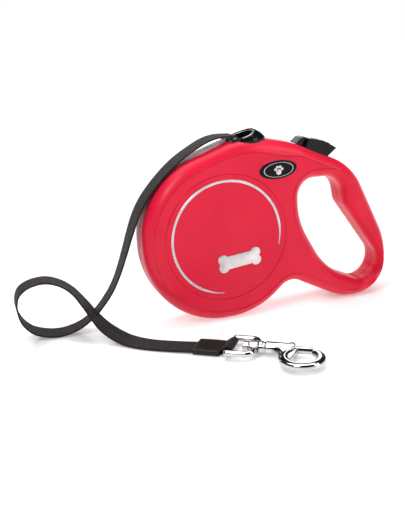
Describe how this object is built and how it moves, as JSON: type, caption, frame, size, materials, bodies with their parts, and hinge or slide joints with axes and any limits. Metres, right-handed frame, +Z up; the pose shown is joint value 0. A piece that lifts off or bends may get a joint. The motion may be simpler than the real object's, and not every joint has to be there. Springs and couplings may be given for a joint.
{
  "type": "retractable leash",
  "caption": "Red oval reel casing with a looped handle, a sprung brake button, a gloss outlet nozzle and a flat black tape that ends in a chrome swivel snap hook.",
  "frame": {"origin": "on the surface the casing stands on, under the middle of the casing's length and thickness", "axes": "+X along the casing from the reel end to the handle, +Y from the decorated front face to the rear face (along the reel's axle), +Z up"},
  "size_m": [0.2924, 0.158, 0.1412],
  "materials": {
    "red_plastic": "satin gloss",
    "black_gloss": "high gloss",
    "black_matte": "fine matte",
    "chrome": "bright plated",
    "steel": "zinc plated",
    "bronze": "turned",
    "webbing": "woven nylon",
    "sleeve": "soft matte"
  },
  "bodies": {
    "casing": {"front_shell": "red_plastic", "rear_shell": "red_plastic", "case_screws": "steel", "badge_plate": "black_gloss", "badge_rim": "chrome", "badge_paw": "chrome", "face_ring": "chrome", "bone_inlay": "chrome", "nozzle": "black_gloss", "mouth_ring": "black_matte", "roller_pin": "steel", "axle": "steel", "axle_clip": "steel", "spring_arbor": "steel", "power_spring": "steel", "button_spring": "steel", "slider_spring": "steel", "inner_tape": "webbing", "leash_tape": "webbing", "tape_loop": "webbing", "tape_sleeve": "sleeve"},
    "roller": {"guide_roller": "chrome"},
    "button": {"brake_button": "black_gloss", "button_grip": "black_matte"},
    "lock": {"lock_slider": "black_matte"},
    "pawl": {"brake_pawl": "steel"},
    "reel": {"reel_drum": "black_matte", "reel_flange": "black_matte", "hub_lid": "black_matte", "wound_tape": "webbing", "tape_pin": "steel", "front_bush": "bronze", "rear_bush": "bronze"},
    "eye": {"swivel_eye": "chrome"},
    "hook": {"swivel_post": "chrome", "hook_body": "chrome", "plunger_spring": "steel"},
    "plunger": {"hook_plunger": "chrome", "thumb_knob": "chrome"}
  },
  "joints": [
    {"name": "reel_spin", "type": "hinge", "parent": "casing", "child": "reel", "pos_m": [-0.0375, 0, 0.0655], "axis": [0, 1, 0], "continuous": true, "deforming": ["power_spring"]},
    {"name": "roller_spin", "type": "hinge", "parent": "casing", "child": "roller", "pos_m": [-0.0245, 0, 0.1346], "axis": [0, 1, 0], "continuous": true},
    {"name": "brake_press", "type": "slide", "parent": "casing", "child": "button", "axis": [-0.4274, 0, -0.9041], "range_m": [0, 0.0035], "stiffness_N_per_m": 400, "springref_m": -0.001, "deforming": ["button_spring"]},
    {"name": "pawl_slide", "type": "slide", "parent": "casing", "child": "pawl", "axis": [-0.766, 0, -0.6428], "range_m": [0, 0.0035]},
    {"name": "lock_slide", "type": "slide", "parent": "casing", "child": "lock", "axis": [-0.9041, 0, 0.4274], "range_m": [0, 0.0025]},
    {"name": "eye_pivot", "type": "hinge", "parent": "casing", "child": "eye", "pos_m": [-0.0591, -0.07081, 0.0049], "axis": [-0.6018, -0.7986, 0], "range_deg": [-60, 90]},
    {"name": "hook_swivel", "type": "hinge", "parent": "eye", "child": "hook", "pos_m": [-0.04553, -0.08104, 0.0049], "axis": [0.7986, -0.6018, 0], "continuous": true},
    {"name": "plunger_slide", "type": "slide", "parent": "hook", "child": "plunger", "axis": [-0.7986, 0.6018, 0], "range_m": [0, 0.006], "stiffness_N_per_m": 250, "springref_m": -0.001, "deforming": ["plunger_spring"]}
  ],
  "couplings": [
    {"joint": "pawl_slide", "follows": "brake_press", "ratio": 1}
  ]
}
